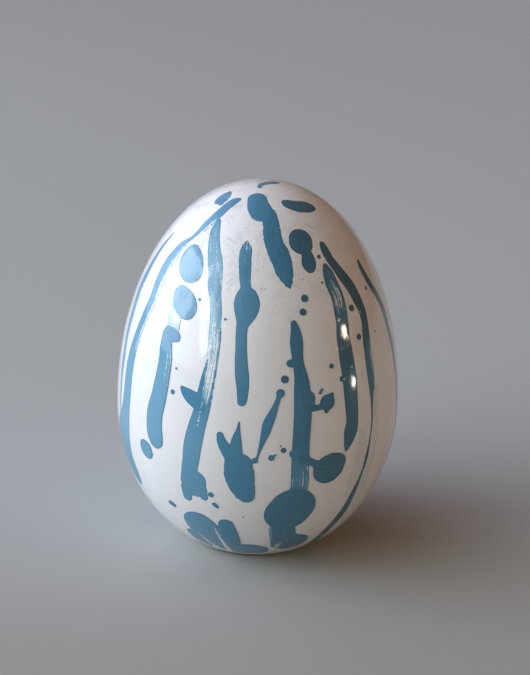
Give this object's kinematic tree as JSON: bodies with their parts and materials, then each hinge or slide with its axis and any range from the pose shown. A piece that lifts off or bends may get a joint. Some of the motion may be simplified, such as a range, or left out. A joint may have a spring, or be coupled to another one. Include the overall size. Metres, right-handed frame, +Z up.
{
  "type": "decorative egg",
  "caption": "Glossy hand-painted ceramic egg with blue brushed drips and dots, standing on a flat felt-ringed foot.",
  "frame": {"origin": "on the egg's axis, in the plane that it stands on", "axes": "+Z up along the egg's axis of revolution; +X to the right and -Y towards the painted front"},
  "size_m": [0.0764, 0.0764, 0.1004],
  "materials": {
    "painted_glaze": "glossy clear glaze over a brushed white ground with blue brushwork",
    "blue_brushwork": "blue painted marks under the clear glaze",
    "stopper_rubber": "soft matte rubber",
    "felt": "grey pressed felt"
  },
  "bodies": {
    "root": {"ceramic_body": "painted_glaze", "vent_stopper": "stopper_rubber", "felt_ring": "felt"}
  },
  "joints": []
}
